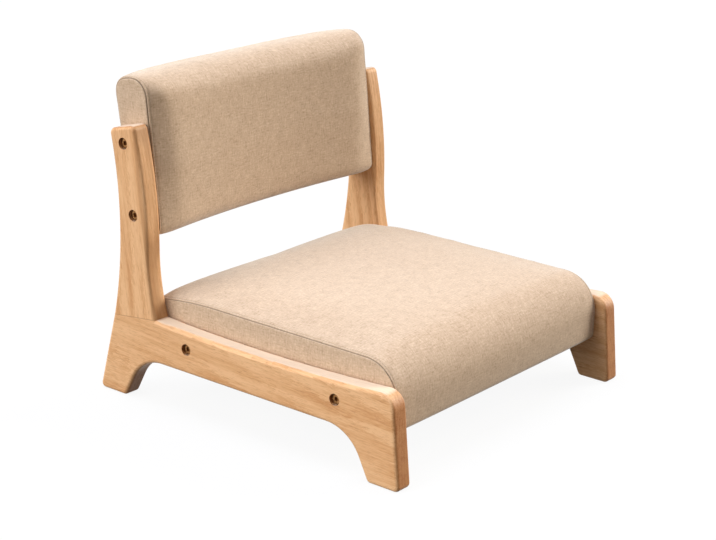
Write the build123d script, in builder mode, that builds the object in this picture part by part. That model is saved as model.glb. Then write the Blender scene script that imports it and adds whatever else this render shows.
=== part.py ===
from build123d import *
import os
from math import cos, radians, sin, sqrt, tan

# Low floor chair with solid wood side frames, an upholstered seat and a
# curved upholstered back. Millimetres, +Z up, the sitter faces -Y.
# Left is -X, as seen from the front. The profiles are drawn about the middle
# of the four feet. The pieces are written about the middle of the whole chair.

# ---- Driving dimensions -------------------------------------------------
# Side frames
overall_width = 450.0
overall_depth = 459.0
side_thickness = 24.0
edge_round = 4.5

# Feet and the arch between them
foot_width = 43.5
foot_lean = 27.0
toe_round = 6.0
arch_height = 55.0
arch_radius = 52.0

# Side rail
rail_height = 104.5
rail_front_rise = 7.0
rail_rear_rise = 4.0
front_rake = 12.0
front_round = 20.0
rear_rake = 25.5

# Back post, glued on the rear end of the rail
post_foot_depth = 70.0
post_foot_slope = 6.8
post_height = 233.0
post_waist_height = 85.5
post_waist_setback = 12.5
post_waist_depth = 46.0
post_set_back = 20.0
post_top_depth = 40.0
post_top_slope = 13.5
post_top_round = 7.0
post_dowel_radius = 5.0
post_dowel_length = 60.0
post_dowel_pitch = 34.0

# Fasteners: recessed hexagon socket bolts in threaded inserts
counterbore_radius = 7.0
counterbore_depth = 8.0
bolt_head_radius = 6.0
bolt_head_height = 4.5
bolt_socket_width = 5.0
bolt_socket_depth = 3.0
bolt_radius = 3.0
bolt_length = 30.0
insert_radius = 5.0
insert_length = 14.0

# Seat
seat_setback = 22.5
seat_rear_overlap = 23.0
seat_drop = 2.0
seat_seam_rise = 27.5
seat_crown = 16.0
seat_front_swell = 4.0
seat_nose_depth = 41.0
seat_nose_height = 34.0
seat_board_drop = 4.5
seat_board_thickness = 9.0
seat_stock = 22.0
seat_nose_foam = 15.0
seat_bolt_rise = 5.0
seat_front_bolt = 68.5
seat_rear_bolt = 72.5
seat_dowel_radius = 4.0
seat_dowel_length = 36.0
dust_cover_thickness = 1.0

# Back
back_lean = 10.0
back_bolt_inset = 19.5
back_bolt_pitch = 85.0
back_above_bolt = 73.0
back_below_bolt = 112.0
back_front = 20.0
back_rear = 27.0
back_sagitta = 20.0
back_front_crown = 9.0
back_rear_crown = 4.0
back_top_crown = 3.5
back_frame_above = 48.0
back_frame_below = 104.0
back_frame_thickness = 18.0
back_stile_width = 32.0
back_rail_width = 34.0
back_board_thickness = 3.0
back_dowel_radius = 3.0
back_dowel_length = 32.0

# Fabric, screws and clearances
cover_thickness = 1.5
screw_radius = 2.0
screw_head_radius = 4.0
screw_length = 25.0
screw_inset = 34.0
screw_spread = 95.0
side_gap = 0.3
lay_gap = 0.2
soft_gap = 0.3
fit_gap = 0.1
bolt_gap = 0.5

# ---- Derived geometry ---------------------------------------------------
toe_y = overall_depth / 2
heel_y = toe_y - foot_width
arch_corner_y = heel_y - arch_height * tan(radians(foot_lean))

seam_slope = tan(radians(post_foot_slope))
post_foot_front = (toe_y - rear_rake - post_foot_depth, rail_height + rail_rear_rise)
post_foot_rear = (
    toe_y - rear_rake,
    rail_height + rail_rear_rise - post_foot_depth * seam_slope,
)
rail_front = (front_rake - toe_y, rail_height + rail_front_rise)
rail_middle = ((rail_front[0] + post_foot_front[0]) / 2, rail_height)

post_waist = (
    post_foot_front[0] + post_waist_setback,
    rail_height + post_waist_height,
)
post_top_front = (post_waist[0] + post_set_back, rail_height + post_height)
post_top_rear = (
    post_top_front[0] + post_top_depth,
    post_top_front[1] - post_top_depth * tan(radians(post_top_slope)),
)
post_rear_middle = (
    post_waist[0] + post_waist_depth,
    (post_foot_rear[1] + post_top_rear[1]) / 2,
)

outer_x = overall_width / 2
inner_x = outer_x - side_thickness
pad_x = inner_x - side_gap
frame_x = pad_x - cover_thickness - lay_gap
bolt_floor_x = outer_x - counterbore_depth

# The seat box hangs between the side rails
seat_front_y = seat_setback - toe_y
seat_rear_y = post_foot_front[0] + seat_rear_overlap
seat_bottom = arch_height - seat_drop
seat_seam = rail_height + seat_seam_rise
seat_frame_bottom = seat_bottom + dust_cover_thickness + 2 * lay_gap
seat_frame_top = rail_height - seat_board_drop
seat_frame_front = seat_front_y + seat_nose_foam + cover_thickness
seat_frame_rear = seat_rear_y - cover_thickness - lay_gap
seat_board_top = seat_frame_top + seat_board_thickness
seat_frame_height = seat_frame_top - seat_frame_bottom
seat_frame_centre = (seat_frame_top + seat_frame_bottom) / 2
seat_bolt_z = (arch_height + rail_height) / 2 + seat_bolt_rise
seat_bolts_yz = [
    (seat_front_y + seat_front_bolt, seat_bolt_z),
    (seat_rear_y - seat_rear_bolt, seat_bolt_z),
]
seat_cross_rails_y = [
    seat_frame_front + seat_stock / 2,
    (seat_frame_front + seat_frame_rear) / 2,
    seat_frame_rear - seat_stock / 2,
]

# The back hangs on its upper bolts. Its own frame runs X across, N to the
# rear and H up along the leaning posts.
lean_sin = sin(radians(back_lean))
lean_cos = cos(radians(back_lean))
back_origin_y = (post_top_front[0] + post_top_rear[0]) / 2 - back_bolt_inset * lean_sin
back_origin_z = (post_top_front[1] + post_top_rear[1]) / 2 - back_bolt_inset * lean_cos
back_bolts_yz = [
    (back_origin_y, back_origin_z),
    (
        back_origin_y - back_bolt_pitch * lean_sin,
        back_origin_z - back_bolt_pitch * lean_cos,
    ),
]
back_plane = Plane(
    origin=(0, back_origin_y, back_origin_z),
    x_dir=(1, 0, 0),
    z_dir=(0, lean_sin, lean_cos),
)
back_radius = (pad_x**2 + back_sagitta**2) / (2 * back_sagitta)


def bow(x):
    """How far the curved back lies behind its ends, X from the middle."""
    return sqrt(back_radius**2 - x**2) - (back_radius - back_sagitta)


# ---- Shared profiles ----------------------------------------------------
def rounded(start, end, corner):
    """The middle point of a quarter round that keeps to its corner."""
    k = 1 - sqrt(0.5)
    y = start[0] * k + end[0] * k + corner[0] * (1 - 2 * k)
    z = start[1] * k + end[1] * k + corner[1] * (1 - 2 * k)
    return (y, z)


def stations(half, power):
    """Section places across a cushion and the share of the crown at each.

    The places close up towards both ends, so that the loft stays even.
    """
    fractions = [sin(radians(angle)) for angle in range(-90, 91, 15)]
    return [(f * half, sqrt(1 - min(abs(f) ** power, 1))) for f in fractions]


def seat_section(x, crown, inset, bottom):
    """Side profile of the seat cushion at X, shrunk by inset."""
    front = seat_front_y + inset - seat_front_swell * crown
    rear = seat_rear_y - inset + 1.5 * crown
    seam = seat_seam - inset
    nose_low = (front, seat_seam - seat_nose_height)
    nose_top = (front + seat_nose_depth + 4 * crown, seam + 0.55 * seat_crown * crown)
    heel_low = (rear, seam - 6)
    heel_top = (rear - 6 - 20 * crown, seam + 0.4 * seat_crown * crown)
    crown_y = (nose_top[0] + heel_top[0]) / 2
    crown_top = (crown_y, seam + seat_crown * crown + 0.3)
    nose_corner = (front, nose_top[1])
    heel_corner = (rear, heel_top[1])
    with BuildSketch(Plane.YZ.offset(x)) as section:
        with BuildLine():
            Line((front + 1, bottom), nose_low)
            ThreePointArc(nose_low, rounded(nose_low, nose_top, nose_corner), nose_top)
            ThreePointArc(nose_top, crown_top, heel_top)
            ThreePointArc(heel_top, rounded(heel_top, heel_low, heel_corner), heel_low)
            Line(heel_low, (rear, bottom))
            Line((rear, bottom), (front + 1, bottom))
        make_face()
    return section.sketch


def seat_form(inset, bottom):
    """Sections of the whole seat cushion, ready to loft."""
    return [
        seat_section(x, crown**1.4, inset, bottom)
        for x, crown in stations(pad_x - inset, 4)
    ]


def back_section(x, crown, inset):
    """Side profile of the back cushion at X, shrunk by inset."""
    shift = bow(min(abs(x), pad_x))
    front = shift - back_front - back_front_crown * crown + inset
    rear = shift + back_rear + back_rear_crown * crown - inset
    top = back_above_bolt + back_top_crown * crown - inset
    low = -back_below_bolt - 0.4 * back_top_crown * crown + inset
    front_low = (front, low + 11)
    front_top = (front, top - 34)
    crest_front = (front + 22, top)
    crest_rear = (rear - 16, top)
    rear_top = (rear, top - 20)
    rear_low = (rear, low + 10)
    sole_rear = (rear - 9, low)
    sole_front = (front + 9, low)
    middle = (top + low) / 2
    section_plane = Plane(
        origin=(x, back_origin_y, back_origin_z),
        x_dir=(0, lean_cos, -lean_sin),
        z_dir=(1, 0, 0),
    )
    with BuildSketch(section_plane) as section:
        with BuildLine():
            ThreePointArc(front_low, (front - 0.5 - 2 * crown, middle), front_top)
            ThreePointArc(front_top, rounded(front_top, crest_front, (front, top)), crest_front)
            Line(crest_front, crest_rear)
            ThreePointArc(crest_rear, rounded(crest_rear, rear_top, (rear, top)), rear_top)
            ThreePointArc(rear_top, (rear + 0.5 + crown, middle), rear_low)
            ThreePointArc(rear_low, rounded(rear_low, sole_rear, (rear, low)), sole_rear)
            Line(sole_rear, sole_front)
            ThreePointArc(sole_front, rounded(sole_front, front_low, (front, low)), front_low)
        make_face()
    return section.sketch


def back_form(inset):
    """Sections of the whole back cushion, ready to loft."""
    return [back_section(x, crown, inset) for x, crown in stations(pad_x - inset, 6)]


def bowed_strip(front, rear, height, start_x, end_x, length):
    """Curved strip in plan between N front and N rear, from start_x to end_x."""
    middle_x = (start_x + end_x) / 2
    with BuildSketch(back_plane.offset(height)) as strip:
        with BuildLine():
            ThreePointArc(
                (start_x, front + bow(start_x)),
                (middle_x, front + bow(middle_x)),
                (end_x, front + bow(end_x)),
            )
            Line((end_x, front + bow(end_x)), (end_x, rear + bow(end_x)))
            ThreePointArc(
                (end_x, rear + bow(end_x)),
                (middle_x, rear + bow(middle_x)),
                (start_x, rear + bow(start_x)),
            )
            Line((start_x, rear + bow(start_x)), (start_x, front + bow(start_x)))
        make_face()
    extrude(strip.sketch, amount=length)


def round_bars(x, places, radius, length, mode=Mode.ADD):
    """Bars along +X that start at X, one at each (Y, Z) place."""
    with BuildSketch(Plane.YZ.offset(x)) as discs:
        with Locations(*places):
            Circle(radius)
    extrude(discs.sketch, amount=length, mode=mode)


def bolt_set(places):
    """Left side bolts, head outwards, one at each (Y, Z) place."""
    round_bars(-bolt_floor_x - bolt_head_height, places, bolt_head_radius, bolt_head_height)
    rims = faces().sort_by(Axis.X)[: len(places)].edges()
    chamfer(rims, 0.8)
    round_bars(-bolt_floor_x, places, bolt_radius, bolt_length)
    with BuildSketch(Plane.YZ.offset(-bolt_floor_x - bolt_head_height)) as sockets:
        with Locations(*places):
            RegularPolygon(bolt_socket_width / 2, 6, major_radius=False)
    extrude(sockets.sketch, amount=bolt_socket_depth, mode=Mode.SUBTRACT)


def insert_set(places):
    """Left side threaded inserts, flush with the wood that holds them."""
    round_bars(-frame_x, places, insert_radius, insert_length)
    round_bars(-frame_x, places, bolt_radius + fit_gap, insert_length, mode=Mode.SUBTRACT)


def bolt_holes(places):
    """Counterbored bolt holes through the left side frame."""
    reach = side_thickness - counterbore_depth
    round_bars(-outer_x, places, counterbore_radius, counterbore_depth, mode=Mode.SUBTRACT)
    round_bars(-bolt_floor_x, places, bolt_radius + bolt_gap, reach, mode=Mode.SUBTRACT)


# ---- Side frames --------------------------------------------------------
seam_centre = (
    (post_foot_front[0] + post_foot_rear[0]) / 2,
    (post_foot_front[1] + post_foot_rear[1]) / 2,
)
slope_sin = sin(radians(post_foot_slope))
slope_cos = cos(radians(post_foot_slope))
seam_plane = Plane(
    origin=(0, seam_centre[0], seam_centre[1]),
    x_dir=(1, 0, 0),
    z_dir=(0, slope_sin, slope_cos),
)

# One blank is shaped and rounded, then cut along the glue seam into a rail,
# with its grain along Y, and a post, with its grain upright.
with BuildPart() as side_blank:
    with BuildSketch(Plane.YZ.offset(-outer_x)) as side_outline:
        with BuildLine():
            Polyline(
                rail_front,
                (-toe_y, 0),
                (-heel_y, 0),
                (-arch_corner_y, arch_height),
                (arch_corner_y, arch_height),
                (heel_y, 0),
                (toe_y, 0),
                post_foot_rear,
            )
            ThreePointArc(post_foot_rear, post_rear_middle, post_top_rear)
            Line(post_top_rear, post_top_front)
            TangentArc(post_waist, post_top_front, tangent=(0, 1))
            TangentArc(post_waist, post_foot_front, tangent=(0, -1))
            ThreePointArc(post_foot_front, rail_middle, rail_front)
        make_face()
        corners = side_outline.vertices()
        low = corners.filter_by_position(Axis.Y, -1, 1)
        fillet(low, toe_round)
        arch = side_outline.vertices().filter_by_position(
            Axis.Y, arch_height - 1, arch_height + 1
        )
        fillet(arch, arch_radius)
        tips = side_outline.vertices().sort_by(Axis.Y)[-2:]
        fillet(tips, post_top_round)
        nose = side_outline.vertices().filter_by_position(
            Axis.X, rail_front[0] - 1, rail_front[0] + 1
        )
        fillet(nose.sort_by(Axis.Y)[-1:], front_round)
    extrude(amount=side_thickness)
    outline_edges = side_blank.faces().filter_by(Axis.X).edges()
    fillet(outline_edges, edge_round)
    bolt_holes(seat_bolts_yz + back_bolts_yz)
    with Locations(seam_plane.offset(-post_dowel_length / 2 - fit_gap)):
        with Locations(
            (-outer_x + side_thickness / 2, -post_dowel_pitch / 2),
            (-outer_x + side_thickness / 2, post_dowel_pitch / 2),
        ):
            Cylinder(
                post_dowel_radius + fit_gap,
                post_dowel_length + 2 * fit_gap,
                align=(Align.CENTER, Align.CENTER, Align.MIN),
                mode=Mode.SUBTRACT,
            )

with BuildPart() as side_rail_left:
    add(side_blank.part)
    split(bisect_by=seam_plane, keep=Keep.BOTTOM)

with BuildPart() as back_post_left:
    add(side_blank.part)
    split(bisect_by=seam_plane, keep=Keep.TOP)

with BuildPart() as post_dowels_left:
    with Locations(seam_plane.offset(-post_dowel_length / 2)):
        with Locations(
            (-outer_x + side_thickness / 2, -post_dowel_pitch / 2),
            (-outer_x + side_thickness / 2, post_dowel_pitch / 2),
        ):
            Cylinder(
                post_dowel_radius,
                post_dowel_length,
                align=(Align.CENTER, Align.CENTER, Align.MIN),
            )
    chamfer(post_dowels_left.edges(), 1)

# ---- Seat frame ---------------------------------------------------------
seat_dowels_yz = [
    (y, seat_frame_centre + side * seat_frame_height / 4)
    for y in seat_cross_rails_y
    for side in (-1, 1)
]
seat_dowel_x = frame_x - seat_stock - seat_dowel_length / 2
seat_frame_length = seat_frame_rear - seat_frame_front

with BuildPart() as seat_frame_side_left:
    with BuildSketch(Plane.XY.offset(seat_frame_bottom)):
        with Locations((-frame_x, seat_frame_front)):
            Rectangle(seat_stock, seat_frame_length, align=(Align.MIN, Align.MIN))
    extrude(amount=seat_frame_height)
    round_bars(-frame_x, seat_bolts_yz, insert_radius + fit_gap, seat_stock, mode=Mode.SUBTRACT)
    round_bars(
        -seat_dowel_x - seat_dowel_length - fit_gap,
        seat_dowels_yz,
        seat_dowel_radius + fit_gap,
        seat_dowel_length + 2 * fit_gap,
        mode=Mode.SUBTRACT,
    )


def seat_cross_rail(y):
    """Rail between the seat sides, with its dowel holes in both ends."""
    with BuildSketch(Plane.XY.offset(seat_frame_bottom)) as plan:
        with Locations((0, y)):
            Rectangle(2 * (frame_x - seat_stock), seat_stock)
    extrude(plan.sketch, amount=seat_frame_height)
    for start in (-seat_dowel_x - seat_dowel_length - fit_gap, seat_dowel_x - fit_gap):
        round_bars(
            start,
            [place for place in seat_dowels_yz if place[0] == y],
            seat_dowel_radius + fit_gap,
            seat_dowel_length + 2 * fit_gap,
            mode=Mode.SUBTRACT,
        )


with BuildPart() as seat_frame_front_rail:
    seat_cross_rail(seat_cross_rails_y[0])

with BuildPart() as seat_frame_middle_rail:
    seat_cross_rail(seat_cross_rails_y[1])

with BuildPart() as seat_frame_rear_rail:
    seat_cross_rail(seat_cross_rails_y[2])

with BuildPart() as seat_frame_dowels:
    round_bars(
        -seat_dowel_x - seat_dowel_length, seat_dowels_yz, seat_dowel_radius, seat_dowel_length
    )
    round_bars(seat_dowel_x, seat_dowels_yz, seat_dowel_radius, seat_dowel_length)

# ---- Seat board, screwed down on the frame ------------------------------
side_screws_xy = [
    (side * (frame_x - seat_stock / 2), y)
    for side in (-1, 1)
    for y in (seat_frame_front + screw_inset, seat_frame_rear - screw_inset)
]
rail_screws_xy = [
    (side * screw_spread, y)
    for side in (-1, 1)
    for y in (seat_cross_rails_y[0], seat_cross_rails_y[2])
]
board_screws_xy = side_screws_xy + rail_screws_xy

with BuildPart() as seat_board:
    with BuildSketch(Plane.XY.offset(seat_frame_top)):
        with Locations((0, seat_frame_front)):
            Rectangle(2 * frame_x, seat_frame_length, align=(Align.CENTER, Align.MIN))
    extrude(amount=seat_board_thickness)
    with Locations(*[(x, y, seat_board_top) for x, y in board_screws_xy]):
        CounterSinkHole(screw_radius + fit_gap, screw_head_radius + fit_gap)


def screw_pilots(rail):
    """Pilot holes for the board's screws in a rail of the seat frame."""
    with BuildPart() as drilled:
        add(rail.part)
        with Locations(*[(x, y, seat_frame_top) for x, y in board_screws_xy]):
            Cylinder(
                screw_radius + fit_gap,
                screw_length - seat_board_thickness + 1,
                align=(Align.CENTER, Align.CENTER, Align.MAX),
                mode=Mode.SUBTRACT,
            )
    return drilled


seat_frame_side_left = screw_pilots(seat_frame_side_left)
seat_frame_front_rail = screw_pilots(seat_frame_front_rail)
seat_frame_rear_rail = screw_pilots(seat_frame_rear_rail)

with BuildPart() as seat_board_screws:
    with Locations(*[(x, y, seat_board_top) for x, y in board_screws_xy]):
        Cylinder(screw_radius, screw_length, align=(Align.CENTER, Align.CENTER, Align.MAX))
        Cone(
            screw_radius,
            screw_head_radius,
            screw_head_radius - screw_radius,
            align=(Align.CENTER, Align.CENTER, Align.MAX),
        )

# ---- Seat cushion -------------------------------------------------------
with BuildPart() as seat_foam:
    loft(seat_form(cover_thickness + lay_gap, seat_frame_bottom))
    with BuildSketch(Plane.XY.offset(seat_frame_bottom - 1)):
        with Locations((0, seat_frame_front - soft_gap)):
            Rectangle(2 * outer_x, overall_depth, align=(Align.CENTER, Align.MIN))
    extrude(amount=seat_board_top + lay_gap - seat_frame_bottom + 1, mode=Mode.SUBTRACT)

with BuildPart() as seat_cover:
    loft(seat_form(0, seat_bottom))
    loft(seat_form(cover_thickness, seat_bottom - 1), mode=Mode.SUBTRACT)
    round_bars(-outer_x, seat_bolts_yz, bolt_radius + bolt_gap, overall_width, mode=Mode.SUBTRACT)

with BuildPart() as seat_dust_cover:
    with BuildSketch(Plane.XY.offset(seat_bottom + lay_gap)):
        with Locations((0, seat_frame_front)):
            Rectangle(2 * frame_x, seat_frame_length, align=(Align.CENTER, Align.MIN))
    extrude(amount=dust_cover_thickness)

# ---- Back frame ---------------------------------------------------------
stile_x = frame_x - back_stile_width
back_half_stock = back_frame_thickness / 2
back_board_front_n = -back_half_stock - back_board_thickness
back_frame_length = back_frame_above + back_frame_below
rail_bow = bow(stile_x)
back_dowel_h = [
    back_frame_above - back_rail_width / 4,
    back_frame_above - back_rail_width * 3 / 4,
    -back_frame_below + back_rail_width / 4,
    -back_frame_below + back_rail_width * 3 / 4,
]
back_dowels_yz = [
    (
        back_origin_y + rail_bow * lean_cos + h * lean_sin,
        back_origin_z - rail_bow * lean_sin + h * lean_cos,
    )
    for h in back_dowel_h
]
back_dowel_x = stile_x - back_dowel_length / 2

with BuildPart() as back_stile_left:
    bowed_strip(
        -back_half_stock,
        back_half_stock,
        -back_frame_below,
        -frame_x,
        -stile_x,
        back_frame_length,
    )
    round_bars(
        -frame_x, back_bolts_yz, insert_radius + fit_gap, insert_length + 6, mode=Mode.SUBTRACT
    )
    round_bars(
        -back_dowel_x - back_dowel_length - fit_gap,
        back_dowels_yz,
        back_dowel_radius + fit_gap,
        back_dowel_length + 2 * fit_gap,
        mode=Mode.SUBTRACT,
    )


def back_cross_rail(height):
    """Curved rail between the stiles, with its dowel holes."""
    bowed_strip(
        -back_half_stock, back_half_stock, height, -stile_x, stile_x, back_rail_width
    )
    for start in (-back_dowel_x - back_dowel_length - fit_gap, back_dowel_x - fit_gap):
        round_bars(
            start,
            back_dowels_yz,
            back_dowel_radius + fit_gap,
            back_dowel_length + 2 * fit_gap,
            mode=Mode.SUBTRACT,
        )


with BuildPart() as back_rail_top:
    back_cross_rail(back_frame_above - back_rail_width)

with BuildPart() as back_rail_bottom:
    back_cross_rail(-back_frame_below)

with BuildPart() as back_frame_dowels:
    round_bars(
        -back_dowel_x - back_dowel_length, back_dowels_yz, back_dowel_radius, back_dowel_length
    )
    round_bars(back_dowel_x, back_dowels_yz, back_dowel_radius, back_dowel_length)

with BuildPart() as back_board_front:
    bowed_strip(
        back_board_front_n,
        -back_half_stock - lay_gap,
        -back_frame_below,
        -frame_x,
        frame_x,
        back_frame_length,
    )

with BuildPart() as back_board_rear:
    bowed_strip(
        back_half_stock + lay_gap,
        back_half_stock + back_board_thickness,
        -back_frame_below,
        -frame_x,
        frame_x,
        back_frame_length,
    )

# ---- Back cushion -------------------------------------------------------
with BuildPart() as back_core:
    bowed_strip(
        back_board_front_n - soft_gap,
        back_half_stock + back_board_thickness + soft_gap,
        -back_frame_below - soft_gap,
        -pad_x,
        pad_x,
        back_frame_length + 2 * soft_gap,
    )

with BuildPart() as back_foam:
    loft(back_form(cover_thickness + lay_gap))
    add(back_core.part, mode=Mode.SUBTRACT)

with BuildPart() as back_cover:
    loft(back_form(0))
    loft(back_form(cover_thickness), mode=Mode.SUBTRACT)
    round_bars(-outer_x, back_bolts_yz, bolt_radius + bolt_gap, overall_width, mode=Mode.SUBTRACT)

# ---- Inserts and bolts --------------------------------------------------
with BuildPart() as seat_inserts_left:
    insert_set(seat_bolts_yz)

with BuildPart() as seat_bolts_left:
    bolt_set(seat_bolts_yz)

with BuildPart() as back_inserts_left:
    insert_set(back_bolts_yz)

with BuildPart() as back_bolts_left:
    bolt_set(back_bolts_yz)

# ---- Write every piece; side pieces come in mirrored pairs ---------------
middle_pieces = {
    "seat_frame_front": seat_frame_front_rail,
    "seat_frame_middle": seat_frame_middle_rail,
    "seat_frame_rear": seat_frame_rear_rail,
    "seat_frame_dowels": seat_frame_dowels,
    "seat_board": seat_board,
    "seat_board_screws": seat_board_screws,
    "seat_foam": seat_foam,
    "seat_cover": seat_cover,
    "seat_dust_cover": seat_dust_cover,
    "back_rail_top": back_rail_top,
    "back_rail_bottom": back_rail_bottom,
    "back_frame_dowels": back_frame_dowels,
    "back_board_front": back_board_front,
    "back_board_rear": back_board_rear,
    "back_foam": back_foam,
    "back_cover": back_cover,
}
paired_pieces = {
    "side_rail": side_rail_left,
    "back_post": back_post_left,
    "post_dowels": post_dowels_left,
    "seat_frame_side": seat_frame_side_left,
    "seat_inserts": seat_inserts_left,
    "seat_bolts": seat_bolts_left,
    "back_stile": back_stile_left,
    "back_inserts": back_inserts_left,
    "back_bolts": back_bolts_left,
}

# The origin moves back from the middle of the feet to the middle of the whole
# chair, because the curved back reaches out behind the rear feet.
front_y = side_rail_left.part.bounding_box().min.Y
rear_y = back_cover.part.bounding_box().max.Y
to_middle = Location((0, -(front_y + rear_y) / 2, 0))

os.makedirs("parts", exist_ok=True)

for name, piece in middle_pieces.items():
    centred = piece.part.moved(to_middle)
    centred.label = name
    export_step(centred, f"parts/{name}.step")

for name, piece in paired_pieces.items():
    centred = piece.part.moved(to_middle)
    centred.label = f"{name}_left"
    export_step(centred, f"parts/{name}_left.step")
    opposite = mirror(centred, about=Plane.YZ)
    opposite.label = f"{name}_right"
    export_step(opposite, f"parts/{name}_right.step")
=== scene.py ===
"""Low floor chair: wooden side frames, a padded seat and a curved padded back.

Metres, +Z up, the sitter faces -Y. Left is -X.
"""

import math

import bmesh
import bpy
from bpy.props import FloatProperty, FloatVectorProperty, IntProperty, PointerProperty
from mathutils import Euler, Matrix, Vector, noise
from mathutils.bvhtree import BVHTree
from mathutils.kdtree import KDTree


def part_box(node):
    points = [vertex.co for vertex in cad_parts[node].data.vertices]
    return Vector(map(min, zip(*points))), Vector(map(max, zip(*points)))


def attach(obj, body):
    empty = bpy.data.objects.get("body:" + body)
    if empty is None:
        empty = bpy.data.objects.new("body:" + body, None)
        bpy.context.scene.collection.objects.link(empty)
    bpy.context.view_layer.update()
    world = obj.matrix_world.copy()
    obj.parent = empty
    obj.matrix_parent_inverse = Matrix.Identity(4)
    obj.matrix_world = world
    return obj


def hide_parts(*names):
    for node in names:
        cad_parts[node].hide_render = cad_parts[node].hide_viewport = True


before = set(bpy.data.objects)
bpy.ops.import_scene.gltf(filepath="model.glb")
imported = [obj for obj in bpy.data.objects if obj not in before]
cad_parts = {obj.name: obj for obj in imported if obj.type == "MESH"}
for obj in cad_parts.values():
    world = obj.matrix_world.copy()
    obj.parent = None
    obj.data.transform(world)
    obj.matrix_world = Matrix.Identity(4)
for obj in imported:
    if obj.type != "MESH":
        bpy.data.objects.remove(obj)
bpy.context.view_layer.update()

bl_info = {
    "name": "Low Floor Chair",
    "version": (1, 0, 0),
    "blender": (4, 5, 0),
    "location": "View3D > Sidebar > Floor Chair",
    "description": "Cushions, finishes and stage for a low wooden floor chair",
    "category": "Object",
}

BODY = "root"
CLOTH_MAP = "cloth"
# Attribute that holds the painted shade down in the seams and along the topstitching.
SEAM_SHADE = "seam_depth"

# Where the painted shade along the left post's front arris runs across its log, drawn
# as a dark streak.
POST_ARRIS_SHADE = -0.1305
# The joint of post and rail: its height at its middle, slope, and middle in Y.
GLUE_LINE = (0.1085, 0.119, 0.1264)
# From the edge of the bolts' box to the middle of a bolt.
BOLT_HEAD = 0.006
# Radii between which the painted shade of a bolt hole fades out.
BORE_EDGE = (0.0067, 0.0074)
# Width of the covers' faces, gap round what a lining holds, reach of a merge.
CELL, GAP, WELD = 0.0045, 0.0002, 1e-5
# The seat's front and rear seams inside the CAD cover, and its side seams below.
SEAT_INSET = (0.0055, 0.0015, 0.0148)
# The end of the seat over which its side seams fall.
REAR_FALL = 0.095
# The room in the back: half its depth, its reach above and below the upper bolts.
BACK_ROOM = (0.012, 0.048, 0.104)
# The back's roundings: front foot, front top, rear top, rear foot.
BACK_RADII = (0.008, 0.024, 0.018, 0.010)
# Noise in the wood: scale by axis (Z is the grain), detail and roughness.
GRAIN = {
    "drift": ((26, 26, 2.6), 2.0, 0.5),
    "band": ((75, 75, 3.0), 2.0, 0.5),
    "streaks": ((210, 210, 4.5), 3.0, 0.6),
    "fibre": ((950, 950, 16), 3.0, 0.55),
    "pores": ((1150, 1150, 75), 2.0, 0.5),
}
# The cover's cloth while it is filled.
FILLING = {
    "quality": 6,
    "mass": 0.3,
    "tension_stiffness": 20,
    "compression_stiffness": 20,
    "shear_stiffness": 8,
    "bending_stiffness": 1.5,
    "use_pressure": True,
}
# Each lamp: width of its light in degrees, the way to it, and its tint.
LAMPS = {
    "key": (35, (0.80, -0.43, 0.38), (1.0, 0.95, 0.86)),
    "side": (50, (-0.72, 0.38, 0.28), (1.0, 0.985, 0.955)),
    "top": (45, (-0.1, 0.2, 1.0), (0.93, 1.0, 1.2)),
}
AMBIENT_TINT = (1.0, 0.89, 0.76)
WHITE = {"Color": (1, 1, 1), "Strength": 1.0}
# The floor as the chair sees it, and how much of the white outshines its shadow.
FLOOR_GREY, FLOOR_GLOW = (0.09, 0.08, 0.068), 0.92
# A wave texture of this scale repeats every metre.
WAVE = math.tau / 20
# How flat a cushion's crown is along it, and how steep at its ends.
SEAT_DOME, BACK_DOME = (4.5, 0.7), (6, 0.5)


# ---- Sizes and colours ----
def length(name, description, default):
    return FloatProperty(
        name=name, description=description, default=default, unit="LENGTH", precision=5
    )


def amount(name, description, default):
    return FloatProperty(name=name, description=description, default=default)


def count(name, description, default):
    return IntProperty(name=name, description=description, default=default, min=1)


def colour(name, description, default):
    more = {"subtype": "COLOR", "min": 0, "max": 1}
    return FloatVectorProperty(
        name=name, description=description, default=default, **more
    )


def angle(name, description, default):
    default = math.radians(default)
    return FloatProperty(
        name=name, description=description, default=default, subtype="ANGLE"
    )


class WoodSettings(bpy.types.PropertyGroup):
    pale: colour("Pale Wood", "Early wood between the rings", (0.80, 0.49, 0.26))
    dark: colour("Dark Wood", "Late wood on the rings", (0.60, 0.30, 0.125))
    pore: colour("Pores", "Open pores along the grain", (0.40, 0.185, 0.075))
    end_grain: colour("End Grain", "What the ends take away", (0.66, 0.50, 0.37))
    # Painted highlight: the flat tops are made paler where the light falls on them.
    top_highlight: colour("Top Highlight", "Painted highlight on the flat tops", (0.86, 0.78, 0.64))
    # Painted shade on the walls of the bolt holes.
    bore_shade: colour("Bore Shade", "Walls of the bolt holes", (0.33, 0.14, 0.045))
    ring: length("Ring Width", "Width of one annual ring", 0.0048)


class UpholsterySettings(bpy.types.PropertyGroup):
    light: colour("Light Yarn", "Lightest yarn of the heather", (0.690, 0.538, 0.394))
    middle: colour("Middle Yarn", "Main yarn of the heather", (0.584, 0.432, 0.304))
    dark: colour("Dark Yarn", "Darkest yarn of the heather", (0.458, 0.320, 0.212))
    thread: colour("Thread", "Topstitching thread", (0.50, 0.375, 0.262))
    yarn: length("Yarn Pitch", "Distance between two yarns of the weave", 0.0011)
    pressure: amount("Pressure", "How hard the foam fills the cover", 4.0)
    evening: count("Evening", "Passes that even out the filling", 20)
    frames: count("Frames", "Length of the cloth simulation", 20)
    stitch: length("Stitch", "Length of one topstitch", 0.0030)
    stitch_pitch: length("Stitch Pitch", "From one topstitch to the next", 0.0038)
    stitch_inset: length("Stitch Inset", "From the seam to the topstitches", 0.0036)
    seam_width: length("Seam Width", "Half the width of a seam's valley", 0.0012)
    seam_depth: length("Seam Depth", "Depth of a seam's valley", 0.0017)
    pucker: length("Pucker", "Depth of the gathers beside a seam", 0.0006)


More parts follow.
